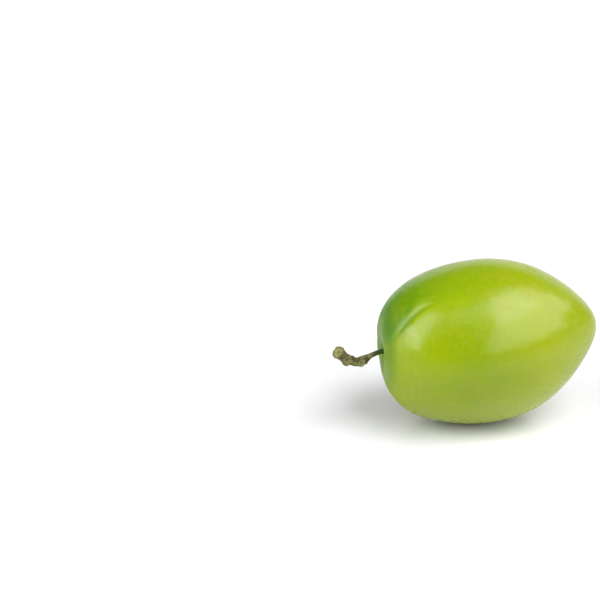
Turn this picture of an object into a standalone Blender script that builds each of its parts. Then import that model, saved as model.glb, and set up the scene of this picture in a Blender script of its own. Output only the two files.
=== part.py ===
"""A whole indian jujube with its stalk, as picked, lying on its side.

Metres, +Z up. The origin is the middle of the small flat spot that the fruit rests on. The long
axis lies along X, with the stalk end at -X and the pointed tip at +X, raised a little as the fruit
settles. The shape is first made in a growth frame, whose X axis is the long axis and whose origin
is the middle of the fruit, and is then laid down.
"""

from math import atan2, cos, exp, hypot, pi, radians, sin

import bmesh
import bpy
from mathutils import Euler, Matrix, Vector

MM = 0.001

# Turned shape of the fruit
PROFILE_LENGTH = 53.5 * MM  # before the basin takes its share of the stalk end
PROFILE_WIDTH = 38.8 * MM
FULLNESS = (0.055, -0.01, 0.256, -0.045)  # what the first four powers of the cosine add to an ellipse
BASIN_DEPTH = 2.0 * MM
BASIN_RADIUS = 4.4 * MM
PIT_DEPTH = 2.0 * MM
PIT_RADIUS = 1.9 * MM
TIP_DIMPLE_DEPTH = 0.3 * MM
TIP_DIMPLE_RADIUS = 1.1 * MM

# Low relief that makes the turned shape a grown one
# Each furrow runs from the basin over the shoulder: degrees up from the front (-Y), and its depth
FURROWS = ((60, 0.16 * MM), (122, 0.2 * MM), (190, 0.3 * MM), (245, 0.24 * MM), (345, 0.2 * MM))
FURROW_WIDTH = 1.5 * MM
FURROW_REACH = 12.0 * MM
FURROW_START = 3.0 * MM
FURROW_SWING = 34  # degrees that the furrows have turned forward at the stalk end
# A short crease along the first furrow: its depth, the widths of its lower and upper walls, and its
# middle and half length along the axis
CREASE_DEPTH = 0.5 * MM
CREASE_WALLS = (0.4 * MM, 1.4 * MM)
CREASE_PLACE = 8.8 * MM
CREASE_LENGTH = 3.0 * MM
# Lobes that swell the stalk end: degrees, rise, then place and length along the axis from the stalk
# end, and spread in degrees
LOBES = ((285, 0.7 * MM, 4.5 * MM, 6.0 * MM, 45), (2, 1.35 * MM, 1.0 * MM, 2.6 * MM, 42))
UNEVENNESS = 0.17 * MM
# Waves of the unevenness: how many go round the fruit, their turn along it, start and share
WAVES = ((2, 3.0, 4.24, 1.0), (3, -4.5, 0.86, 0.6))
BELLY_SAG = 0.6 * MM  # how far the middle of the long axis bends down

# How the fruit lies
TILT = 5.0  # degrees that the tip is raised
AXIS_HEIGHT = 20.05 * MM  # of the middle of the long axis, above the flat spot
REST_PLACE = 2.7 * MM  # from the flat spot's middle to that of the long axis, along X

RINGS = 52
RING_CROWDING = 0.85  # 0 spaces the rings evenly, and near 1 crowds them at both ends
SEGMENTS = 72

# Stalk, from the pit outwards: growth frame x, y, z and half thickness, in millimetres from the
# middle of the pit's mouth
STALK = (
    (1.70, 0.00, -0.10, 0.75),
    (1.40, 0.00, -0.10, 0.98),
    (1.00, 0.00, -0.02, 1.05),
    (0.60, 0.00, 0.20, 0.72),
    (0.00, 0.00, 0.50, 0.60),
    (-0.90, 0.00, 0.62, 0.58),
    (-1.90, 0.00, 0.42, 0.58),
    (-2.90, 0.00, 0.13, 0.60),
    (-3.90, -0.03, -0.20, 0.68),
    (-4.60, -0.08, -0.56, 0.88),
    (-5.30, -0.15, -0.90, 1.08),
    (-6.10, -0.20, -1.06, 1.12),
    (-7.30, -0.30, -0.95, 1.02),
    (-8.60, -0.40, -0.35, 1.10),
    (-9.90, -0.60, 0.65, 1.20),
    (-11.00, -0.95, 1.90, 1.32),
    (-11.65, -1.35, 2.75, 1.55),
)
STALK_STEPS = 2
STALK_SIDES = 14
# Side stubs that grew from it, in the same millimetres
SIDE_STUBS = (
    ((-6.00, -0.20, -1.00, 0.95), (-6.20, -1.25, -0.95, 0.74), (-6.30, -2.05, -0.85, 0.90)),
    ((-9.40, -0.50, 0.20, 1.00), (-9.85, -1.35, -0.15, 0.70), (-10.15, -1.95, -0.45, 0.82)),
)
STUB_SIDES = 12
BREAK_RIM = 0.3 * MM  # width of the rim round each broken end
BREAK_DEPTH = 0.25 * MM

SHARP_ANGLE = 50  # degrees between faces, past which an edge stays sharp
WELD = 0.001 * MM

# Linear colour, roughness
SKIN = ((0.35, 0.50, 0.03), 0.32)
BARK = ((0.20, 0.17, 0.07), 0.70)

PIT_MOUTH = Vector((-PROFILE_LENGTH / 2 + BASIN_DEPTH, 0, 0))
LAID_DOWN = Matrix.Translation((REST_PLACE, 0, AXIS_HEIGHT)) @ Matrix.Rotation(-radians(TILT), 4, "Y")


def clear_scene():
    for old in list(bpy.data.objects):
        bpy.data.objects.remove(old, do_unlink=True)


def profile_point(turn):
    """Point of the turned profile, with turn from 0 at the stalk end to pi at the tip."""
    lean = cos(turn)
    fullness = 1 + sum(share * lean ** (power + 1) for power, share in enumerate(FULLNESS))
    radius = PROFILE_WIDTH / 2 * sin(turn) * fullness
    x = -PROFILE_LENGTH / 2 * lean
    if lean > 0:
        x += BASIN_DEPTH * exp(-((radius / BASIN_RADIUS) ** 2))
        x += PIT_DEPTH * exp(-((radius / PIT_RADIUS) ** 4))
    else:
        x -= TIP_DIMPLE_DEPTH * exp(-((radius / TIP_DIMPLE_RADIUS) ** 2))
    return Vector((x, 0, radius))


def ring_turn(ring):
    """Turn of a ring of the profile. The rings crowd at its two ends."""
    share = ring / RINGS
    return pi * (share - RING_CROWDING * sin(2 * pi * share) / (2 * pi))


def angle_between(direction, degrees):
    """Signed angle from a direction in degrees to one in radians, within half a turn."""
    return (direction - radians(degrees) + pi) % (2 * pi) - pi


def swing(along):
    """Angle that the furrows have turned forward, at a distance along the axis from the stalk end."""
    return radians(FURROW_SWING) * max(1 - along / FURROW_REACH, 0) ** 2


def relief(point):
    """Height of the low relief over the turned shape, at a point in the growth frame."""
    radius = hypot(point.y, point.z)
    around = atan2(point.z, -point.y)
    along = point.x + PROFILE_LENGTH / 2
    swung = around + swing(along)
    level = point.x / PROFILE_LENGTH
    round_share = (2 * radius / PROFILE_WIDTH) ** 2
    waves = sum(
        share * sin(count * around + twist * level + begin) for count, twist, begin, share in WAVES
    )
    height = UNEVENNESS * round_share * waves
    start = (radius / (radius + FURROW_START)) ** 2
    reach = exp(-((along / FURROW_REACH) ** 2)) * start
    for degrees, depth in FURROWS:
        across = radius * angle_between(swung, degrees)
        height -= depth * reach * exp(-((across / FURROW_WIDTH) ** 2))
    across = radius * angle_between(swung, FURROWS[0][0])
    wall = abs(across) / CREASE_WALLS[across > 0]
    height -= CREASE_DEPTH * exp(-wall - ((along - CREASE_PLACE) / CREASE_LENGTH) ** 2)
    for degrees, rise, lobe_place, length, spread in LOBES:
        aside = angle_between(around, degrees) / radians(spread)
        height += rise * start * exp(-(aside**2) - ((along - lobe_place) / length) ** 2)
    return height


def make_object(name, body, finish):
    """Object from a bmesh, smooth but for its flat faces."""
    mesh = bpy.data.meshes.new(name)
    body.to_mesh(mesh)
    body.free()
    mesh.shade_smooth()
    mesh.set_sharp_from_angle(angle=radians(SHARP_ANGLE))
    colour, roughness = finish
    material = bpy.data.materials.new(name)
    material.use_nodes = True
    shader = material.node_tree.nodes["Principled BSDF"]
    shader.inputs["Base Color"].default_value = (*colour, 1)
    shader.inputs["Roughness"].default_value = roughness
    shader.inputs["Metallic"].default_value = 0
    mesh.materials.append(material)
    made = bpy.data.objects.new(name, mesh)
    bpy.context.scene.collection.objects.link(made)
    return made


def make_fruit():
    """The turned profile, its low relief and sag, and the flat spot cut where it rests.

    The turned rings are first rotated so that the mesh's lines run along the furrows.
    """
    body = bmesh.new()
    profile = [body.verts.new(profile_point(ring_turn(ring))) for ring in range(RINGS + 1)]
    edges = [body.edges.new(pair) for pair in zip(profile, profile[1:])]
    bmesh.ops.spin(
        body,
        geom=profile + edges,
        cent=(0, 0, 0),
        axis=(1, 0, 0),
        angle=2 * pi,
        steps=SEGMENTS,
        use_merge=True,
    )
    bmesh.ops.remove_doubles(body, verts=body.verts, dist=WELD)
    for vertex in body.verts:
        vertex.co.rotate(Euler((swing(vertex.co.x + PROFILE_LENGTH / 2), 0, 0)))
    bmesh.ops.recalc_face_normals(body, faces=body.faces)
    body.normal_update()
    for vertex in body.verts:
        vertex.co += vertex.normal * relief(vertex.co)
    for vertex in body.verts:
        vertex.co.z -= BELLY_SAG * (1 - (2 * vertex.co.x / PROFILE_LENGTH) ** 2)
    bmesh.ops.transform(body, matrix=LAID_DOWN, verts=body.verts)
    everything = body.verts[:] + body.edges[:] + body.faces[:]
    bmesh.ops.bisect_plane(
        body, geom=everything, plane_co=(0, 0, 0), plane_no=(0, 0, -1), clear_outer=True
    )
    rim = [edge for edge in body.edges if edge.is_boundary]
    bmesh.ops.contextual_create(body, geom=rim)
    bmesh.ops.recalc_face_normals(body, faces=body.faces)
    return make_object("fruit", body, SKIN)


def smooth_stations(stations, steps):
    """Smooth curve through the stations, each with its place and half thickness."""
    rows = [Vector(station) for station in stations]
    padded = [2 * rows[0] - rows[1], *rows, 2 * rows[-1] - rows[-2]]
    found = []
    for a, b, c, d in zip(padded, padded[1:], padded[2:], padded[3:]):
        for step in range(steps):
            t = step / steps
            pull = (2 * a - 5 * b + 4 * c - d) * t * t + (3 * b - a - 3 * c + d) * t**3
            found.append((2 * b + (c - a) * t + pull) / 2)
    return found + [rows[-1]]


def add_limb(body, stations, sides):
    """Closed round limb through stations of place and half thickness, with a dished far end."""
    last = len(stations) - 1
    loops = []
    for index, station in enumerate(stations):
        ahead = stations[min(index + 1, last)].xyz - stations[max(index - 1, 0)].xyz
        place = LAID_DOWN @ Matrix.Translation(PIT_MOUTH + station.xyz * MM)
        ring = bmesh.ops.create_circle(
            body,
            segments=sides,
            radius=station.w * MM,
            cap_ends=index in (0, last),
            matrix=place @ ahead.to_track_quat("Z", "Y").to_matrix().to_4x4(),
        )["verts"]
        loops.append(list({edge for vertex in ring for edge in vertex.link_edges}))
    end_face = ring[0].link_faces[0]
    for lower, upper in zip(loops, loops[1:]):
        bmesh.ops.bridge_loops(body, edges=lower + upper)
    bmesh.ops.recalc_face_normals(body, faces=body.faces)
    bmesh.ops.inset_individual(body, faces=[end_face], thickness=BREAK_RIM, depth=-BREAK_DEPTH)


def make_stem():
    """The stalk with its foot and flared end, and the side stubs that grew from it."""
    body = bmesh.new()
    add_limb(body, smooth_stations(STALK, STALK_STEPS), STALK_SIDES)
    stem = make_object("stem", body, BARK)
    for index, stations in enumerate(SIDE_STUBS):
        body = bmesh.new()
        add_limb(body, smooth_stations(stations, STALK_STEPS), STUB_SIDES)
        stub = make_object(f"side_stub_{index}", body, BARK)
        stub.hide_render = True
        stub.display_type = "WIRE"
        union = stem.modifiers.new("grown_on", "BOOLEAN")
        union.operation = "UNION"
        union.solver = "EXACT"
        union.object = stub
    return stem


clear_scene()
make_fruit()
make_stem()
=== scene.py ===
"""Dresses a whole indian jujube that lies on its side: its waxy skin, style scar and woody stalk.

Metres, +Z up, in the frame's own place. The fruit is shaped in a growth frame, whose X axis is its
long axis, and is then laid down, just as the frame's solids were.
"""

import random
from math import atan2, cos, exp, hypot, pi, radians, sin, tan

import bmesh
import bpy
from bpy.props import FloatProperty, FloatVectorProperty, IntProperty, PointerProperty
from mathutils import Euler, Matrix, Vector, noise


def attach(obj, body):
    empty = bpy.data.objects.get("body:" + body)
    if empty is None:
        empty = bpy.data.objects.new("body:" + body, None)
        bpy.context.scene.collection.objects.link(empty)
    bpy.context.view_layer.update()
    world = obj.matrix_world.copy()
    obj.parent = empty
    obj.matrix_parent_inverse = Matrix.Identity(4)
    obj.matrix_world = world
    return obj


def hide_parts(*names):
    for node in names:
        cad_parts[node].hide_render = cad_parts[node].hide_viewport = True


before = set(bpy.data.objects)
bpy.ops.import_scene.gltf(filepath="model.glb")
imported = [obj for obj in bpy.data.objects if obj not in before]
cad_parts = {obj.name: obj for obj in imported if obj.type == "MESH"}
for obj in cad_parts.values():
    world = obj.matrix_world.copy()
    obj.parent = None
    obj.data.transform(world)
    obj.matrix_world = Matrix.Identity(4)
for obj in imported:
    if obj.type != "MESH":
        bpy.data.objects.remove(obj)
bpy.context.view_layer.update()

bl_info = {
    "name": "Indian Jujube",
    "version": (1, 0, 0),
    "blender": (4, 5, 0),
    "location": "View3D > Sidebar > Jujube",
    "description": "Builds a whole jujube fruit with its stalk, and a plain studio round it",
    "category": "Add Mesh",
}

MM = 0.001

# Form of the fruit, turned about its long axis
PROFILE_LENGTH = 53.5 * MM
PROFILE_WIDTH = 38.8 * MM
FULLNESS = (0.055, -0.01, 0.256, -0.045)
BASIN_DEPTH = 2.0 * MM
BASIN_RADIUS = 4.4 * MM
PIT_DEPTH = 2.0 * MM
PIT_RADIUS = 1.9 * MM
TIP_DIMPLE_DEPTH = 0.3 * MM
TIP_DIMPLE_RADIUS = 1.1 * MM

# Its low relief: each furrow's degrees up from the front (-Y) and its depth
FURROWS = ((60, 0.16 * MM), (122, 0.2 * MM), (190, 0.3 * MM), (245, 0.24 * MM), (345, 0.2 * MM))
FURROW_WIDTH = 1.5 * MM
FURROW_REACH = 12.0 * MM
FURROW_START = 3.0 * MM
FURROW_SWING = 34  # degrees that they have turned forward at the stalk end
# Short crease along the first furrow: its depth, the widths of its lower and upper walls, and its
# middle and half length along the fruit
CREASE_DEPTH = 0.5 * MM
CREASE_WALLS = (0.4 * MM, 1.4 * MM)
CREASE_PLACE = 8.8 * MM
CREASE_LENGTH = 3.0 * MM
# Lobes of the stalk end: degrees, rise, place and length along the fruit, spread in degrees
LOBES = ((285, 0.7 * MM, 4.5 * MM, 6.0 * MM, 45), (2, 1.35 * MM, 1.0 * MM, 2.6 * MM, 42))
# Slow waves round the fruit: their height, and each one's count, twist, start and share
UNEVENNESS = 0.17 * MM
WAVES = ((2, 3.0, 4.24, 1.0), (3, -4.5, 0.86, 0.6))
BELLY_SAG = 0.6 * MM
# Soft dents and swellings of the skin: millimetres across, and share of their height
DENTS = ((6.0, 1.0), (2.8, 0.5))

# How it lies: degrees that the tip is raised, and where the profile's middle is
TILT = 5.0
AXIS_HEIGHT = 20.05 * MM
REST_PLACE = 2.7 * MM

# Mesh of the skin: rings along it, how much they crowd at its ends, and steps round it
RINGS = 168
RING_CROWDING = 0.72
SEGMENTS = 240
WELD = 0.001 * MM
SHARP_ANGLE = 60

# Masks of the skin, in millimetres: where each is 0 and where it is 1. ALONG is measured from the
# middle to the tip, UP from the long axis, LIFT up and back, and RADIUS out from the long axis
HALF_LENGTH = PROFILE_LENGTH / MM / 2
# SHADE places painted shade on the upper back side, which reaches lower at the stalk end
SHADE_ALONG = (-4.0, -20.0)
SHADE_LIFT = (4.5, 11.0)
SHADE_SHARES = (0.15, 0.85)  # of the shade towards the tip and towards the stalk
SHADE_RISE = 6.0  # how much lower the shade reaches at the stalk end
SHADE_RISE_ALONG = (-16.0, -22.0)
# LIP: the basin's lip, darker partly in the skin's own green and partly as painted shade
LIP_ALONG = (-23.4, -25.4)
CREASE_ALONG = ((-14.0, -17.5), (-24.5, -21.5))
CREASE_SHADE_ASIDE = 0.3  # how far its shade lies below the crease's bottom
CREASE_SHADE_SPREAD = 0.5  # square of its half width
# BELLY: where painted bounce light from the floor makes the side below paler
BELLY_UP = (-1.0, -17.0)
BLUSH_ALONG = ((-5.0, 1.0), (13.0, 7.0))
BLUSH_LIFT = ((0.0, 4.0), (14.0, 10.0))
STREAKS_ALONG = (-8.0, -24.0)
BASIN_ALONG = (-20.0, -22.0)
PIT_RING_RADIUS = (2.9, 1.7)
TIP_ALONG = (25.0, 26.2)
TIP_RADIUS = (2.4, 0.6)
DULL_ALONG = (-19.0, -24.0)
DOT_CORE = 0.35  # part of a dot's radius inside which it is full

# Stalk, from the pit outwards: x, y, z and half thickness, in millimetres from the pit's mouth
STALK = (
    (1.70, 0.00, -0.10, 0.75),
    (1.40, 0.00, -0.10, 0.98),
    (1.00, 0.00, -0.02, 1.05),
    (0.60, 0.00, 0.20, 0.72),
    (0.00, 0.00, 0.50, 0.60),
    (-0.90, 0.00, 0.62, 0.58),
    (-1.90, 0.00, 0.42, 0.58),
    (-2.90, 0.00, 0.13, 0.60),
    (-3.90, -0.03, -0.20, 0.68),
    (-4.60, -0.08, -0.56, 0.88),
    (-5.30, -0.15, -0.90, 1.08),
    (-6.10, -0.20, -1.06, 1.12),
    (-7.30, -0.30, -0.95, 1.02),
    (-8.60, -0.40, -0.35, 1.10),
    (-9.90, -0.60, 0.65, 1.20),
    (-11.00, -0.95, 1.90, 1.32),
    (-11.65, -1.35, 2.75, 1.55),
)
SIDE_STUBS = (
    ((-6.00, -0.20, -1.00, 0.95), (-6.20, -1.25, -0.95, 0.74), (-6.30, -2.05, -0.85, 0.90)),
    ((-9.40, -0.50, 0.20, 1.00), (-9.85, -1.35, -0.15, 0.70), (-10.15, -1.95, -0.45, 0.82)),
)
# Rings that the bud scales left: millimetres from the pit's mouth, and their width
SCALE_RINGS = ((-4.75, 0.16), (-5.15, 0.13), (-7.75, 0.15), (-8.10, 0.12), (-10.35, 0.15))
STALK_STEPS = 8
STALK_SIDES = 32
BREAK_RIM = 0.38 * MM
BREAK_DEPTH = 0.4 * MM
BARK_VOXEL = 0.075 * MM
BARK_SMOOTHINGS = 3
BARK_STARTS = -4.2  # millimetres from the pit's mouth, where the green stalk turns woody
WOODY_REACH = (0.32, 0.42)  # the same place in the colours, as parts of the stalk's length
# Bark relief in millimetres: on the green stalk, and what the woody stub adds
RIDGE_HEIGHTS = (0.012, 0.030)
LUMP_HEIGHTS = (0.02, 0.15)
SCALE_RING_HEIGHT = 0.11
BARK_GRAIN_HEIGHT = 0.07 * MM

# Hairs of the stalk: the seed of their draw, how much they stand up, lean out and stray, the
# shortest and longest as shares of the mean, and how far out a hair's middle is as a share of it
HAIR_SEED = 7
HAIR_STAND = 0.8
HAIR_LEAN = 0.7
HAIR_STRAY = 0.5
HAIR_LENGTHS = (0.5, 1.2)
HAIR_MIDDLE = 0.45

# Style scar: its half width and half height, the nub on it in millimetres, and its grain
SCAR_HALF_WIDTH = 0.46
SCAR_HALF_HEIGHT = 0.26
SCAR_NUB = 0.16
SCAR_NUB_SHARPNESS = 30
SCAR_GRAIN_HEIGHT = 0.05 * MM

PIT_MOUTH = Vector((-PROFILE_LENGTH / 2 + BASIN_DEPTH, 0, 0))
TIP_RAISED = Matrix.Rotation(-radians(TILT), 4, "Y")
LAID_DOWN = Matrix.Translation((REST_PLACE, 0, AXIS_HEIGHT)) @ TIP_RAISED

# The photograph's view: its width in pixels, the resting spot's place in it, and the camera
PHOTO_SIDE = 600
REST_PIXEL = (473.7, 415.2)
VIEW_TURN = 9.7  # degrees that the tip is turned away from the camera
VIEW_ELEVATION = 22.0
VIEW_DISTANCE = 0.6033
LENS = 150
SENSOR = 36
CLIP_START = 0.01

# Studio. Each softbox fills a range of turns round the fruit and of elevations, in degrees, and
# glows with a share of one of the settings
FLOOR_SIDE = 1.2
SOFTBOX_DISTANCE = 1.2
SOFTBOXES = (
    ("key_softbox", (11, 84), (46, 79), "key_glow", 1.0),
    ("tip_softbox", (84, 113), (18, 76), "key_glow", 0.52),
    ("side_softbox", (5, 84), (10, 46), "side_glow", 1.0),
    ("fill_softbox", (-102, -58), (12, 33), "fill_glow", 1.0),
    ("upper_fill_softbox", (-90, -52), (33, 61), "fill_glow", 0.62),
    ("top_softbox", (-40, 8), (52, 74), "top_glow", 1.0),
)
# The backdrop's edges: where it is 0 and where it is 1, on each axis of the direction towards it
BACKDROP_AHEAD = (0.45, 0.80)
BACKDROP_UP = (0.60, 0.35)
BACKDROP_ASIDE = (-0.45, -0.15)


class Wire:
    """A node's output. Operators on it add Math nodes, or Vector Math nodes if it is a vector."""

    def __init__(self, socket):
        self.socket = socket

    @classmethod
    def add(cls, tree, kind, settings=None, inputs=None, output=0):
        """Any node: its settings first, then the values or wires of its sockets."""
        node = tree.nodes.new(kind)
        for name, value in (settings or {}).items():
            if name == "stops":
                ramp = node.color_ramp
                while len(ramp.elements) < len(value):
                    ramp.elements.new(1)
                for element, (place, colour) in zip(ramp.elements, value):
                    element.position = place
                    element.color = (*colour, 1)
            else:
                setattr(node, name, value)
        for name, value in (inputs or {}).items():
            if isinstance(value, Wire):
                tree.links.new(value.socket, node.inputs[name])
            else:
                node.inputs[name].default_value = value
        return cls(node.outputs[output])

    def maths(self, operation, *values):
        """An operation on values or wires, on vectors if this wire is one."""
        vector = self.socket.type == "VECTOR"
        kind = "ShaderNodeVectorMath" if vector else "ShaderNodeMath"
        if vector:
            numbers = (int, float)
            values = [(value,) * 3 if isinstance(value, numbers) else value for value in values]
        inputs = dict(enumerate(values))
        return Wire.add(self.socket.id_data, kind, {"operation": operation}, inputs)

    def __add__(self, other):
        return self.maths("ADD", self, other)

    def __radd__(self, other):
        return self.maths("ADD", other, self)

    def __sub__(self, other):
        return self.maths("SUBTRACT", self, other)

    def __rsub__(self, other):
        return self.maths("SUBTRACT", other, self)

    def __mul__(self, other):
        return self.maths("MULTIPLY", self, other)

    def __rmul__(self, other):
        return self.maths("MULTIPLY", other, self)

    def __truediv__(self, other):
        return self.maths("DIVIDE", self, other)

    def __pow__(self, other):
        return self.maths("POWER", self, other)

    def step(self, low, high):
        """0 below low and 1 above high, with a smooth rise between. With low over high it falls."""
        falls = low > high
        inputs = {"Value": self, "From Min": min(low, high), "From Max": max(low, high)}
        inputs.update({"To Min": float(falls), "To Max": float(not falls)})
        settings = {"interpolation_type": "SMOOTHSTEP"}
        return Wire.add(self.socket.id_data, "ShaderNodeMapRange", settings, inputs)

    def mix(self, start, end):
        """The colour start where this is 0, and end where it is 1."""
        inputs = {0: self}
        for slot, colour in ((6, start), (7, end)):
            inputs[slot] = colour if isinstance(colour, Wire) else (*colour, 1)
        return Wire.add(self.socket.id_data, "ShaderNodeMix", {"data_type": "RGBA"}, inputs, 2)

    def ramp(self, stops):
        """The colour of a ramp at this, from stops of a place and a colour."""
        return Wire.add(self.socket.id_data, "ShaderNodeValToRGB", {"stops": stops}, {"Fac": self})


def growth_place(tree):
    """Place on the piece in millimetres, in the frame that the fruit grew in."""
    place = Wire.add(tree, "ShaderNodeTexCoord", output="Object")
    inputs = {"Vector": place, "Location": (REST_PLACE, 0, AXIS_HEIGHT)}
    inputs.update({"Rotation": (0, -radians(TILT), 0), "Scale": (MM, MM, MM)})
    return Wire.add(tree, "ShaderNodeMapping", {"vector_type": "TEXTURE"}, inputs)


def axes_of(place):
    """The x, y and z of a place as wires."""
    tree = place.socket.id_data
    split = Wire.add(tree, "ShaderNodeSeparateXYZ", inputs={"Vector": place}).socket.node
    return [Wire(output) for output in split.outputs]


def grain(place, size, detail=2.0, rough=0.5):
    """Noise whose blotches are about size millimetres across, or that size on each axis."""
    scale = [1 / length for length in (size if isinstance(size, tuple) else (size,) * 3)]
    tree = place.socket.id_data
    scaled = Wire.add(tree, "ShaderNodeMapping", inputs={"Vector": place, "Scale": scale})
    inputs = {"Vector": scaled, "Scale": 1.0, "Detail": detail, "Roughness": rough}
    return Wire.add(tree, "ShaderNodeTexNoise", inputs=inputs, output="Fac")


def blotches(place, size, edges, detail=2.0, rough=0.5):
    """Mask that rises from 0 to 1 where the noise of grain rises between two edges."""
    return grain(place, size, detail, rough).step(*edges)


def dots(place, spacing, radius, share):
    """Round dots with a spacing and a radius in millimetres, of which only a share shows."""
    tree = place.socket.id_data
    inputs = {"Vector": place, "Scale": 1 / spacing, "Randomness": 1.0}
    cells = Wire.add(tree, "ShaderNodeTexVoronoi", inputs=inputs, output="Distance")
    chance = Wire.add(
        tree, "ShaderNodeSeparateColor", inputs={"Color": Wire(cells.socket.node.outputs["Color"])}
    )
    shown = chance.step(share, share - 0.02)
    return cells.step(radius / spacing, DOT_CORE * radius / spacing) * shown


def new_material(name, roughness, **constants):
    """Material of one Principled shader, and its tree and shader."""
    material = bpy.data.materials.new(name)
    material.use_nodes = True
    shader = material.node_tree.nodes["Principled BSDF"]
    shader.inputs["Roughness"].default_value = roughness
    for socket, value in constants.items():
        shader.inputs[socket.replace("_", " ")].default_value = value
    return material, material.node_tree, shader


def painted(colour, paint, mask, share):
    """A colour with a share of another one where the mask is 1."""
    return (mask * share).mix(colour, paint)


def plug(tree, wire, shader, socket):
    """Link a wire to one of the shader's sockets."""
    tree.links.new(wire.socket, shader.inputs[socket])


def bump(tree, height, distance):
    """Normal raised by a height from 0 to 1 over a distance in metres."""
    inputs = {"Strength": 1.0, "Distance": distance, "Height": height}
    return Wire.add(tree, "ShaderNodeBump", inputs=inputs, output="Normal")


def crease_mask(along, radius, around):
    """1 at the bottom of the short crease and 0 beside it, swung as the furrows are. It places
    painted shade in the crease and makes it duller.
    """
    to_stalk = 1 - (along + HALF_LENGTH) / (FURROW_REACH / MM)
    swung = around + to_stalk.maths("MAXIMUM", to_stalk, 0) ** 2 * radians(FURROW_SWING)
    aside = (swung - radians(FURROWS[0][0])) * radius + CREASE_SHADE_ASIDE
    mask = (aside * aside).step(CREASE_SHADE_SPREAD, 0.0)
    for ends in CREASE_ALONG:
        mask *= along.step(*ends)
    return mask


def skin_material(settings):
    """Waxy green skin that yellows towards the tip, with a tan blush, pale dots and specks. Its
    upper back side and crease carry painted shade, its stalk end and tip partly so, and its side
    below painted bounce light.
    """
    material, tree, shader = new_material(
        "jujube_skin",
        settings.roughness,
        IOR=1.38,
        Subsurface_Weight=0.10,
        Subsurface_Radius=(1.0, 0.9, 0.25),
        Subsurface_Scale=2.0 * MM,
    )
    place = growth_place(tree)
    along, across, up = axes_of(place)
    radius = (across * across + up * up) ** 0.5
    around = up.maths("ARCTAN2", up, 0 - across)
    warp = grain(place, size=15.0, detail=1.0) - 0.5
    lift = up * 0.8 + across * 0.6 + warp * 4.0

    ripeness = (along / HALF_LENGTH + 1) / 2 + warp * 0.30
    # The ramp runs from the greener stalk half to the yellower tip; the tip colour is kept darker,
    # partly the skin's own colour and partly painted shade where the key softbox lights the tip
    colour = ripeness.ramp(
        (
            (0.10, settings.shoulder_colour),
            (0.36, settings.middle_colour),
            (0.68, settings.ripe_colour),
            (0.96, settings.tip_colour),
        )
    )
    # Painted shade: the upper back side is darkened towards the stalk end's green, reaching lower
    # near the stalk end
    shade = (lift + along.step(*SHADE_RISE_ALONG) * SHADE_RISE).step(*SHADE_LIFT)
    shade *= along.step(*SHADE_ALONG) * (SHADE_SHARES[1] - SHADE_SHARES[0]) + SHADE_SHARES[0]
    # The basin's lip is darker partly in the skin's own green and partly as painted shade
    lip = (along - up * 0.10).step(*LIP_ALONG)
    colour = (shade + lip * 0.65).mix(colour, settings.stalk_end_and_shade_colour)
    # Painted shade along the crease; the same mask makes the crease duller in the roughness
    crease = crease_mask(along, radius, around)
    colour = painted(colour, settings.stalk_end_and_shade_colour, crease, share=0.55)
    # Painted bounce light: the side below is made paler as if lit by light thrown up from the floor
    colour = painted(colour, settings.painted_bounce_colour, up.step(*BELLY_UP), share=0.5)
    mottling = blotches(place, size=7.0, edges=(0.42, 0.72), detail=3.0, rough=0.55)
    colour = painted(colour, settings.patch_colour, mottling, share=0.35)

    sunny = along.step(*BLUSH_ALONG[0]) * along.step(*BLUSH_ALONG[1])
    sunny *= lift.step(*BLUSH_LIFT[0]) * lift.step(*BLUSH_LIFT[1])
    blush = blotches(place, size=4.5, edges=(0.42, 0.56), detail=3.0, rough=0.6) * sunny
    colour = painted(colour, settings.blush_colour, blush, share=0.42)
    flecks = dots(place, spacing=2.7, radius=0.34, share=0.55) * sunny
    colour = painted(colour, settings.speck_colour, flecks, share=0.5)

    streaks = blotches(place, size=(14.0, 1.3, 1.3), edges=(0.45, 0.75))
    streaks *= along.step(*STREAKS_ALONG)
    colour = painted(colour, settings.patch_colour, streaks, share=0.30)
    cells = blotches(place, size=0.9, edges=(0.35, 0.68))
    colour = painted(colour, settings.stalk_end_and_shade_colour, cells, share=0.14)
    pale = dots(place, spacing=1.3, radius=0.16, share=0.7)
    colour = painted(colour, settings.dot_colour, pale, share=0.18)
    specks = dots(place, spacing=9.0, radius=0.42, share=0.30)
    colour = painted(colour, settings.speck_colour, specks, share=0.6)
    pit_ring = radius.step(*PIT_RING_RADIUS) * along.step(*BASIN_ALONG)
    colour = painted(colour, settings.speck_colour, pit_ring, share=0.65)
    at_tip = along.step(*TIP_ALONG) * radius.step(*TIP_RADIUS)
    colour = painted(colour, settings.speck_colour, at_tip, share=0.7)
    plug(tree, colour, shader, "Base Color")

    sheen = grain(place, size=3.0) - 0.5
    dull_patches = blotches(place, size=1.9, edges=(0.50, 0.68), rough=0.6)
    dull = crease * 0.35 + along.step(*DULL_ALONG) * 0.22 + dull_patches * 0.10
    plug(tree, settings.roughness + sheen * 0.10 + dull, shader, "Roughness")
    fine_peel = grain(place, size=0.55, detail=1.0)
    broad_peel = grain(place, size=2.2, detail=1.0)
    peel = fine_peel * 0.6 + broad_peel * 1.6 - pale * 0.1
    plug(tree, bump(tree, peel, settings.peel_depth), shader, "Normal")
    return material


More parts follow.
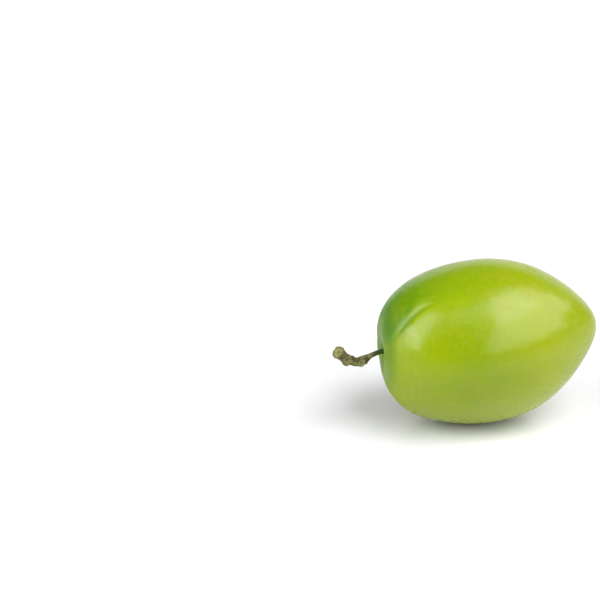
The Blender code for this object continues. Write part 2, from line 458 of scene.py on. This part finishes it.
def bark_material(settings):
    """Dark green stalk that turns to grey-tan bark, ridged along its length, with pale breaks."""
    material, tree, shader = new_material("jujube_bark", 0.75, IOR=1.4)
    place = growth_place(tree)
    along = axes_of(place)[0] - PIT_MOUTH.x / MM
    reach = (along - STALK[0][0]) / (STALK[-1][0] - STALK[0][0])
    wobble = (grain(place, size=1.2) - 0.5) * 0.10
    colour = (reach + wobble).ramp(
        (
            (0.00, settings.foot_colour),
            (0.13, settings.green_colour),
            (0.28, settings.green_colour),
            (0.38, settings.bark_colour),
        )
    )
    woody = reach.step(*WOODY_REACH)
    weather = blotches(place, size=1.5, edges=(0.44, 0.58)) * woody
    colour = painted(colour, settings.weathered_colour, weather, share=0.85)
    fibres = blotches(place, size=(1.1, 0.14, 0.14), edges=(0.42, 0.62), detail=3.0, rough=0.6)
    colour = painted(colour, settings.crack_colour, fibres, share=0.55)
    pores = dots(place, spacing=0.75, radius=0.13, share=0.6) * woody
    colour = painted(colour, settings.break_colour, pores, share=0.8)
    dust = blotches(place, size=0.35, edges=(0.52, 0.70)) * woody
    colour = painted(colour, settings.break_colour, dust, share=0.45)
    for limb in (STALK, *SIDE_STUBS):
        centre = PIT_MOUTH / MM + Vector(limb[-1][:3])
        half_thickness = limb[-1][3]
        inputs = {0: place, 1: centre}
        far = Wire.add(tree, "ShaderNodeVectorMath", {"operation": "DISTANCE"}, inputs, "Value")
        face = (far + wobble * 5.0).step(half_thickness * 1.05, half_thickness * 0.65)
        colour = painted(colour, settings.break_colour, face, share=0.8)
        pith = (far + wobble * 6.0).step(0.75, 0.30)
        colour = painted(colour, settings.crack_colour, pith, share=0.7)
    plug(tree, colour, shader, "Base Color")
    rough = grain(place, size=0.25, detail=3.0, rough=0.65) - fibres * 0.7 + pores * 0.5
    plug(tree, bump(tree, rough, BARK_GRAIN_HEIGHT), shader, "Normal")
    return material


def felt_material(settings):
    """Dry hairs, some bleached and some browned."""
    material, tree, shader = new_material("jujube_felt", 0.8)
    tone = blotches(growth_place(tree), size=0.8, edges=(0.40, 0.60), detail=1.0)
    plug(tree, tone.mix(settings.weathered_colour, settings.break_colour), shader, "Base Color")
    plug(tree, tone * 0.15 + 0.7, shader, "Roughness")
    return material


def scar_material(settings):
    """Dry brown scar tissue."""
    material, tree, shader = new_material("jujube_scar", 0.85, IOR=1.45)
    tone = blotches(growth_place(tree), size=0.25, edges=(0.3, 0.7), detail=3.0)
    plug(tree, tone.mix(settings.speck_colour, settings.scar_colour), shader, "Base Color")
    plug(tree, bump(tree, tone, SCAR_GRAIN_HEIGHT), shader, "Normal")
    return material


def profile_point(turn):
    """Point of the turned profile, with turn from 0 at the stalk end to pi at the tip."""
    lean = cos(turn)
    fullness = 1 + sum(share * lean ** (power + 1) for power, share in enumerate(FULLNESS))
    radius = PROFILE_WIDTH / 2 * sin(turn) * fullness
    x = -PROFILE_LENGTH / 2 * lean
    if lean > 0:
        x += BASIN_DEPTH * exp(-((radius / BASIN_RADIUS) ** 2))
        x += PIT_DEPTH * exp(-((radius / PIT_RADIUS) ** 4))
    else:
        x -= TIP_DIMPLE_DEPTH * exp(-((radius / TIP_DIMPLE_RADIUS) ** 2))
    return Vector((x, 0, radius))


def ring_turn(ring):
    """Turn of a ring of the profile. The rings crowd at the two ends."""
    share = ring / RINGS
    return pi * (share - RING_CROWDING * sin(2 * pi * share) / (2 * pi))


def angle_between(direction, degrees):
    """Signed angle from a direction in degrees to one in radians, within half a turn."""
    return (direction - radians(degrees) + pi) % (2 * pi) - pi


def swing(along):
    """Angle that the furrows have turned forward at a distance from the stalk end."""
    return radians(FURROW_SWING) * max(1 - along / FURROW_REACH, 0) ** 2


def relief(point):
    """Height of the low relief over the turned shape, at a point in the growth frame."""
    radius = hypot(point.y, point.z)
    around = atan2(point.z, -point.y)
    along = point.x + PROFILE_LENGTH / 2
    swung = around + swing(along)
    level = point.x / PROFILE_LENGTH
    round_share = (2 * radius / PROFILE_WIDTH) ** 2
    waves = sum(
        share * sin(count * around + twist * level + begin) for count, twist, begin, share in WAVES
    )
    height = UNEVENNESS * round_share * waves
    start = (radius / (radius + FURROW_START)) ** 2
    reach = exp(-((along / FURROW_REACH) ** 2)) * start
    for degrees, depth in FURROWS:
        across = radius * angle_between(swung, degrees)
        height -= depth * reach * exp(-((across / FURROW_WIDTH) ** 2))
    across = radius * angle_between(swung, FURROWS[0][0])
    wall = abs(across) / CREASE_WALLS[across > 0]
    height -= CREASE_DEPTH * exp(-wall - ((along - CREASE_PLACE) / CREASE_LENGTH) ** 2)
    for degrees, rise, lobe_place, length, spread in LOBES:
        aside = angle_between(around, degrees) / radians(spread)
        height += rise * start * exp(-(aside**2) - ((along - lobe_place) / length) ** 2)
    return height


def fine_relief(point, depth):
    """Soft dents and swellings of the skin, a few millimetres across."""
    place = point / MM
    return depth * sum(share * noise.noise(place / size) for size, share in DENTS)


def make_piece(name, body, material, replaced=None):
    """Object from a bmesh that rides on the fruit's body, and the node that it stands for."""
    mesh = bpy.data.meshes.new(name)
    body.to_mesh(mesh)
    body.free()
    mesh.shade_smooth()
    mesh.materials.append(material)
    piece = bpy.data.objects.new(name, mesh)
    bpy.context.scene.collection.objects.link(piece)
    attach(piece, "root")
    if replaced:
        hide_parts(replaced)
    return piece


def turned_fruit(dent_depth):
    """The fruit's skin as a closed bmesh, laid down, with its flat resting spot."""
    body = bmesh.new()
    profile = [body.verts.new(profile_point(ring_turn(ring))) for ring in range(RINGS + 1)]
    edges = [body.edges.new(pair) for pair in zip(profile, profile[1:])]
    bmesh.ops.spin(
        body,
        geom=profile + edges,
        cent=(0, 0, 0),
        axis=(1, 0, 0),
        angle=2 * pi,
        steps=SEGMENTS,
        use_merge=True,
    )
    bmesh.ops.remove_doubles(body, verts=body.verts, dist=WELD)
    for vertex in body.verts:
        vertex.co.rotate(Euler((swing(vertex.co.x + PROFILE_LENGTH / 2), 0, 0)))
    bmesh.ops.recalc_face_normals(body, faces=body.faces)
    body.normal_update()
    for vertex in body.verts:
        vertex.co += vertex.normal * (relief(vertex.co) + fine_relief(vertex.co, dent_depth))
    for vertex in body.verts:
        vertex.co.z -= BELLY_SAG * (1 - (2 * vertex.co.x / PROFILE_LENGTH) ** 2)
    bmesh.ops.transform(body, matrix=LAID_DOWN, verts=body.verts)
    everything = body.verts[:] + body.edges[:] + body.faces[:]
    bmesh.ops.bisect_plane(
        body, geom=everything, plane_co=(0, 0, 0), plane_no=(0, 0, -1), clear_outer=True
    )
    rim = [edge for edge in body.edges if edge.is_boundary]
    bmesh.ops.contextual_create(body, geom=rim)
    bmesh.ops.recalc_face_normals(body, faces=body.faces)
    return body


def smooth_stations(stations, steps):
    """Smooth curve through the stations, each with its place and half thickness."""
    rows = [Vector(station) for station in stations]
    padded = [2 * rows[0] - rows[1], *rows, 2 * rows[-1] - rows[-2]]
    found = []
    for a, b, c, d in zip(padded, padded[1:], padded[2:], padded[3:]):
        for step in range(steps):
            t = step / steps
            pull = (2 * a - 5 * b + 4 * c - d) * t * t + (3 * b - a - 3 * c + d) * t**3
            found.append((2 * b + (c - a) * t + pull) / 2)
    return found + [rows[-1]]


def add_limb(body, stations, sides):
    """Closed round limb through stations of place and half thickness, with a dished far end."""
    last = len(stations) - 1
    loops = []
    for index, station in enumerate(stations):
        ahead = stations[min(index + 1, last)].xyz - stations[max(index - 1, 0)].xyz
        place = Matrix.Translation(PIT_MOUTH + station.xyz * MM)
        ring = bmesh.ops.create_circle(
            body,
            segments=sides,
            radius=station.w * MM,
            cap_ends=index in (0, last),
            matrix=place @ ahead.to_track_quat("Z", "Y").to_matrix().to_4x4(),
        )["verts"]
        loops.append(list({edge for vertex in ring for edge in vertex.link_edges}))
    end_face = ring[0].link_faces[0]
    for lower, upper in zip(loops, loops[1:]):
        bmesh.ops.bridge_loops(body, edges=lower + upper)
    bmesh.ops.recalc_face_normals(body, faces=body.faces)
    bmesh.ops.inset_individual(body, faces=[end_face], thickness=BREAK_RIM, depth=-BREAK_DEPTH)


def remeshed(body, voxel):
    """The bmesh's overlapping limbs as one closed skin, made through Blender's voxel remesh."""
    mesh = bpy.data.meshes.new("limbs")
    body.to_mesh(mesh)
    body.free()
    limbs = bpy.data.objects.new("limbs", mesh)
    bpy.context.scene.collection.objects.link(limbs)
    remesh = limbs.modifiers.new("one_skin", "REMESH")
    remesh.mode = "VOXEL"
    remesh.voxel_size = voxel
    bpy.context.view_layer.update()
    result = bmesh.new()
    result.from_mesh(limbs.evaluated_get(bpy.context.evaluated_depsgraph_get()).to_mesh())
    bpy.data.objects.remove(limbs)
    bpy.data.meshes.remove(mesh)
    return result


def nearest_station(point, stations):
    """Index of the station nearest to a point."""
    return min(range(len(stations)), key=lambda index: (stations[index].xyz - point).length_squared)


def bark_relief(place, stations):
    """Ridges, swellings and pores of the bark at a place in millimetres from the pit's mouth."""
    index = nearest_station(place, stations)
    station = stations[index]
    ahead = stations[min(index + 1, len(stations) - 1)].xyz - stations[max(index - 1, 0)].xyz
    side = ahead.cross(Vector((0, 1, 0))).normalized()
    other = ahead.cross(side).normalized()
    offset = place - station.xyz
    around = atan2(offset.dot(other), offset.dot(side))
    woody = min(max(BARK_STARTS - station.x + 0.5, 0), 1)
    ridges = sin(9 * around + 2.0 * sin(1.7 * station.x)) + 0.6 * sin(5 * around + 1.1 * station.x)
    lumps = noise.noise(place * 1.1) + 0.7 * noise.noise(place * 2.9 + Vector((5, 1, 7)))
    rings = sum(exp(-(((place.x - ring) / width) ** 2)) for ring, width in SCALE_RINGS)
    uneven = 0.6 + 0.8 * noise.noise(place * 2.0)
    ridge_height = RIDGE_HEIGHTS[0] + RIDGE_HEIGHTS[1] * woody
    lump_height = LUMP_HEIGHTS[0] + LUMP_HEIGHTS[1] * woody
    return ridge_height * ridges + lump_height * lumps + SCALE_RING_HEIGHT * rings * uneven


def stalk_body(settings):
    """The stalk and its side stubs as one closed bmesh, laid down."""
    stations = smooth_stations(STALK, STALK_STEPS)
    body = bmesh.new()
    add_limb(body, stations, STALK_SIDES)
    for stub in SIDE_STUBS:
        add_limb(body, smooth_stations(stub, STALK_STEPS), STALK_SIDES)
    body = remeshed(body, BARK_VOXEL)
    for _ in range(BARK_SMOOTHINGS):
        bmesh.ops.smooth_vert(
            body, verts=body.verts, factor=0.5, use_axis_x=True, use_axis_y=True, use_axis_z=True
        )
    body.normal_update()
    for vertex in body.verts:
        place = (vertex.co - PIT_MOUTH) / MM
        vertex.co += vertex.normal * bark_relief(place, stations) * settings.ridge_depth
    bmesh.ops.transform(body, matrix=LAID_DOWN, verts=body.verts)
    bmesh.ops.recalc_face_normals(body, faces=body.faces)
    return body


def scar_body():
    """A low ragged nub of dry tissue in the dimple at the tip."""
    body = bmesh.new()
    bmesh.ops.create_uvsphere(body, u_segments=28, v_segments=16, radius=1)
    tip = LAID_DOWN @ profile_point(pi)
    for vertex in body.verts:
        around = atan2(vertex.co.y, vertex.co.x)
        ragged = 1 + 0.14 * sin(3 * around + 0.6) + 0.10 * sin(7 * around)
        ragged += 0.2 * noise.noise(3 * vertex.co)
        vertex.co.x *= SCAR_HALF_WIDTH * ragged
        vertex.co.y *= SCAR_HALF_WIDTH * ragged
        nub = SCAR_NUB * exp(-SCAR_NUB_SHARPNESS * (vertex.co.x**2 + vertex.co.y**2))
        vertex.co.z = vertex.co.z * SCAR_HALF_HEIGHT + nub
    turn = TIP_RAISED @ Matrix.Rotation(radians(90), 4, "Y")
    place = Matrix.Translation(tip) @ turn @ Matrix.Diagonal((MM, MM, MM, 1))
    bmesh.ops.transform(body, matrix=place, verts=body.verts)
    bmesh.ops.recalc_face_normals(body, faces=body.faces)
    return body


def felt_body(stalk, settings):
    """Short pale hairs that lie along the stalk, each a thin three-sided spike."""
    draw = random.Random(HAIR_SEED)
    mesh = stalk.data
    mesh.calc_loop_triangles()
    faces = list(mesh.loop_triangles)
    areas = [face.area for face in faces]
    body = bmesh.new()
    outwards = LAID_DOWN.to_3x3() @ Vector((-1, 0, 0.25))
    for face in draw.choices(faces, weights=areas, k=settings.hair_count):
        corners = [mesh.vertices[index].co for index in face.vertices]
        first, second = sorted((draw.random(), draw.random()))
        root = corners[0] * first + corners[1] * (second - first) + corners[2] * (1 - second)
        stray = Vector([draw.uniform(-HAIR_STRAY, HAIR_STRAY) for _ in range(3)])
        lean = (face.normal * HAIR_STAND + outwards * HAIR_LEAN + stray).normalized()
        length = settings.hair_length * draw.uniform(*HAIR_LENGTHS)
        place = Matrix.Translation(root + lean * length * HAIR_MIDDLE)
        bmesh.ops.create_cone(
            body,
            segments=3,
            radius1=settings.hair_thickness / 2,
            radius2=0,
            depth=length,
            matrix=place @ lean.to_track_quat("Z", "Y").to_matrix().to_4x4(),
        )
    return body


class JujubeSkinSettings(bpy.types.PropertyGroup):
    """Looks of the fruit's skin."""

    # Deeper green of the skin round the stalk, also used as the colour of painted shade
    stalk_end_and_shade_colour: FloatVectorProperty(
        name="Stalk end",
        description="Skin round the stalk",
        subtype="COLOR",
        default=(0.068, 0.184, 0.001),
    )
    shoulder_colour: FloatVectorProperty(
        name="Shoulder",
        description="Skin of the stalk half",
        subtype="COLOR",
        default=(0.232, 0.312, 0.001),
    )
    middle_colour: FloatVectorProperty(
        name="Middle",
        description="Skin of the middle",
        subtype="COLOR",
        default=(0.184, 0.252, 0.001),
    )
    ripe_colour: FloatVectorProperty(
        name="Ripe",
        description="Yellower skin past the middle",
        subtype="COLOR",
        default=(0.222, 0.270, 0.001),
    )
    # Yellow-green of the ripening tip, kept darker partly as painted shade
    tip_colour: FloatVectorProperty(
        name="Tip",
        description="Skin of the ripening tip",
        subtype="COLOR",
        default=(0.196, 0.240, 0.002),
    )
    # Paler colour of the side below: painted bounce light from the floor
    painted_bounce_colour: FloatVectorProperty(
        name="Belly",
        description="Paler skin of the side below",
        subtype="COLOR",
        default=(0.335, 0.410, 0.002),
    )
    patch_colour: FloatVectorProperty(
        name="Patches",
        description="Yellower mottling",
        subtype="COLOR",
        default=(0.225, 0.272, 0.006),
    )
    blush_colour: FloatVectorProperty(
        name="Blush",
        description="Tan blush past the middle",
        subtype="COLOR",
        default=(0.245, 0.245, 0.012),
    )
    dot_colour: FloatVectorProperty(
        name="Dots", description="Pale breathing pores", subtype="COLOR", default=(0.52, 0.60, 0.14)
    )
    speck_colour: FloatVectorProperty(
        name="Specks",
        description="Brown specks and scars",
        subtype="COLOR",
        default=(0.14, 0.10, 0.03),
    )
    scar_colour: FloatVectorProperty(
        name="Scar",
        description="Dry tissue at the tip",
        subtype="COLOR",
        default=(0.42, 0.33, 0.16),
    )
    roughness: FloatProperty(
        name="Roughness",
        description="How dull the wax is",
        subtype="FACTOR",
        default=0.22,
        min=0,
        max=1,
    )
    peel_depth: FloatProperty(
        name="Peel depth",
        description="Height of the peel's grain",
        unit="LENGTH",
        default=0.022 * MM,
    )
    dent_depth: FloatProperty(
        name="Dent depth", description="Height of the soft dents", unit="LENGTH", default=0.05 * MM
    )


class JujubeStalkSettings(bpy.types.PropertyGroup):
    """Looks of the stalk."""

    foot_colour: FloatVectorProperty(
        name="Foot",
        description="Flared foot in the pit",
        subtype="COLOR",
        default=(0.28, 0.34, 0.10),
    )
    green_colour: FloatVectorProperty(
        name="Green stalk",
        description="Thin live stalk",
        subtype="COLOR",
        default=(0.040, 0.090, 0.003),
    )
    bark_colour: FloatVectorProperty(
        name="Bark", description="Woody stub", subtype="COLOR", default=(0.070, 0.067, 0.022)
    )
    weathered_colour: FloatVectorProperty(
        name="Weathered",
        description="Pale grey patches",
        subtype="COLOR",
        default=(0.245, 0.235, 0.088),
    )
    crack_colour: FloatVectorProperty(
        name="Cracks",
        description="Hollows of the bark",
        subtype="COLOR",
        default=(0.05, 0.045, 0.018),
    )
    break_colour: FloatVectorProperty(
        name="Break",
        description="Bare wood of the broken end",
        subtype="COLOR",
        default=(0.31, 0.30, 0.105),
    )
    ridge_depth: FloatProperty(
        name="Ridge depth",
        description="Height of one unit of bark relief",
        unit="LENGTH",
        default=1.0 * MM,
    )
    hair_count: IntProperty(name="Hairs", description="Number of felt hairs", default=1100, min=0)
    hair_length: FloatProperty(
        name="Hair length", description="Mean length of a hair", unit="LENGTH", default=0.22 * MM
    )
    hair_thickness: FloatProperty(
        name="Hair thickness",
        description="Width at a hair's root",
        unit="LENGTH",
        default=0.022 * MM,
    )


class JujubeStudioSettings(bpy.types.PropertyGroup):
    """The floor and light round the fruit."""

    floor_colour: FloatVectorProperty(
        name="Floor", description="Pale floor", subtype="COLOR", default=(0.672, 0.672, 0.69)
    )
    surround: FloatProperty(name="Surround", description="Strength of the dim room", default=0.05)
    backdrop: FloatProperty(
        name="Backdrop", description="Strength of the white backdrop", default=1.0
    )
    key_glow: FloatProperty(
        name="Key", description="Radiance of the high right softbox", default=6.9
    )
    side_glow: FloatProperty(
        name="Side", description="Radiance of the low right softbox", default=4.0
    )
    fill_glow: FloatProperty(
        name="Fill", description="Radiance of the left softbox", default=7.7
    )
    top_glow: FloatProperty(
        name="Top", description="Radiance of the small softbox above", default=1.7
    )


class JUJUBE_OT_fruit(bpy.types.Operator):
    """Model the fruit and give it its waxy skin"""

    bl_idname = "jujube.fruit"
    bl_label = "Fruit"

    def execute(self, context):
        settings = context.scene.jujube_skin
        body = turned_fruit(settings.dent_depth)
        skin = make_piece("fruit_skin", body, skin_material(settings), "fruit")
        skin.data.set_sharp_from_angle(angle=radians(SHARP_ANGLE))
        return {"FINISHED"}


class JUJUBE_OT_style_scar(bpy.types.Operator):
    """Model the dry scar in the dimple at the tip"""

    bl_idname = "jujube.style_scar"
    bl_label = "Style scar"

    def execute(self, context):
        settings = context.scene.jujube_skin
        scar = make_piece("style_scar", scar_body(), scar_material(settings))
        return {"FINISHED"}


class JUJUBE_OT_stalk(bpy.types.Operator):
    """Model the stalk with its side stubs and bark"""

    bl_idname = "jujube.stalk"
    bl_label = "Stalk"

    def execute(self, context):
        settings = context.scene.jujube_stalk
        stalk = make_piece("woody_stalk", stalk_body(settings), bark_material(settings), "stem")
        return {"FINISHED"}


class JUJUBE_OT_felt(bpy.types.Operator):
    """Grow the short pale hairs of the stalk"""

    bl_idname = "jujube.felt"
    bl_label = "Felt"

    def execute(self, context):
        settings = context.scene.jujube_stalk
        body = felt_body(bpy.data.objects["woody_stalk"], settings)
        make_piece("stalk_felt", body, felt_material(settings))
        return {"FINISHED"}


def dim_room(settings):
    """A dim room with a white backdrop behind the fruit, which a camera sees as plain white."""
    world = bpy.data.worlds.new("studio")
    world.use_nodes = True
    bpy.context.scene.world = world
    tree = world.node_tree
    aside, ahead, up = axes_of(Wire.add(tree, "ShaderNodeTexCoord", output="Generated"))
    backdrop = ahead.step(*BACKDROP_AHEAD) * up.step(*BACKDROP_UP) * aside.step(*BACKDROP_ASIDE)
    glow = backdrop * (settings.backdrop - settings.surround) + settings.surround
    seen = Wire.add(tree, "ShaderNodeLightPath", output="Is Camera Ray")
    background = tree.nodes["Background"]
    background.inputs["Color"].default_value = (1, 1, 1, 1)
    plug(tree, seen * (1 - glow) + glow, background, "Strength")


def softbox(name, turns, lifts, glow):
    """Upright light that fills a range of turns round the fruit and of elevations, in degrees."""
    middle = radians(sum(turns) / 2)
    low, high = (SOFTBOX_DISTANCE * tan(radians(lift)) for lift in lifts)
    lamp = bpy.data.lights.new(name, "AREA")
    lamp.shape = "RECTANGLE"
    lamp.size = 2 * SOFTBOX_DISTANCE * tan(radians(turns[1] - turns[0]) / 2)
    lamp.size_y = high - low
    lamp.energy = glow * pi * lamp.size * lamp.size_y
    light = bpy.data.objects.new(name, lamp)
    place = Vector((sin(middle), -cos(middle), 0)) * SOFTBOX_DISTANCE
    light.location = place + Vector((0, 0, AXIS_HEIGHT + (low + high) / 2))
    light.rotation_euler = (pi / 2, 0, middle)
    bpy.context.scene.collection.objects.link(light)


def photo_camera():
    """The camera, turned and lifted so that the fruit has its place in the photograph's frame."""
    view = bpy.data.cameras.new("camera")
    view.lens = LENS
    view.sensor_width = SENSOR
    view.clip_start = CLIP_START
    camera = bpy.data.objects.new("camera", view)
    turn, lift = radians(VIEW_TURN), radians(VIEW_ELEVATION)
    ahead = Vector((sin(turn) * cos(lift), cos(turn) * cos(lift), -sin(lift)))
    right = Vector((cos(turn), -sin(turn), 0))
    pixel = SENSOR / LENS * VIEW_DISTANCE / PHOTO_SIDE
    aside = (REST_PIXEL[0] - PHOTO_SIDE / 2) * pixel
    above = (PHOTO_SIDE / 2 - REST_PIXEL[1]) * pixel
    camera.location = -ahead * VIEW_DISTANCE - right * aside - right.cross(ahead) * above
    camera.rotation_euler = ahead.to_track_quat("-Z", "Y").to_euler()
    bpy.context.scene.collection.objects.link(camera)
    bpy.context.scene.camera = camera


class JUJUBE_OT_studio(bpy.types.Operator):
    """Lay the pale floor and set the soft lights and the camera"""

    bl_idname = "jujube.studio"
    bl_label = "Studio"

    def execute(self, context):
        settings = context.scene.jujube_studio
        ground = bmesh.new()
        bmesh.ops.create_grid(ground, x_segments=1, y_segments=1, size=FLOOR_SIDE / 2)
        mesh = bpy.data.meshes.new("floor")
        ground.to_mesh(mesh)
        ground.free()
        material, _, shader = new_material("pale_floor", 0.2)
        shader.inputs["Base Color"].default_value = (*settings.floor_colour, 1)
        mesh.materials.append(material)
        floor = bpy.data.objects.new("floor", mesh)
        context.scene.collection.objects.link(floor)
        dim_room(settings)
        for name, turns, lifts, glow, share in SOFTBOXES:
            softbox(name, turns, lifts, getattr(settings, glow) * share)
        photo_camera()
        context.scene.view_settings.view_transform = "Standard"
        return {"FINISHED"}


class JUJUBE_PT_panel(bpy.types.Panel):
    """Lists the jujube's pieces and their settings"""

    bl_label = "Indian Jujube"
    bl_idname = "JUJUBE_PT_panel"
    bl_space_type = "VIEW_3D"
    bl_region_type = "UI"
    bl_category = "Jujube"

    def draw(self, context):
        for operators, group in GROUPS:
            box = self.layout.box()
            for operator in operators:
                box.operator(operator.bl_idname)
            settings = getattr(context.scene, group)
            for name in settings.__annotations__:
                box.prop(settings, name)


GROUPS = (
    ((JUJUBE_OT_fruit, JUJUBE_OT_style_scar), "jujube_skin"),
    ((JUJUBE_OT_stalk, JUJUBE_OT_felt), "jujube_stalk"),
    ((JUJUBE_OT_studio,), "jujube_studio"),
)
SETTINGS = {
    "jujube_skin": JujubeSkinSettings,
    "jujube_stalk": JujubeStalkSettings,
    "jujube_studio": JujubeStudioSettings,
}
CLASSES = (
    *SETTINGS.values(),
    *(operator for operators, _ in GROUPS for operator in operators),
    JUJUBE_PT_panel,
)


def register():
    for cls in CLASSES:
        bpy.utils.register_class(cls)
    for name, settings in SETTINGS.items():
        setattr(bpy.types.Scene, name, PointerProperty(type=settings))


def unregister():
    for name in SETTINGS:
        delattr(bpy.types.Scene, name)
    for cls in reversed(CLASSES):
        bpy.utils.unregister_class(cls)


def main():
    register()
    bpy.ops.jujube.studio()
    bpy.ops.jujube.fruit()
    bpy.ops.jujube.style_scar()
    bpy.ops.jujube.stalk()
    bpy.ops.jujube.felt()


if __name__ == "__main__":
    main()
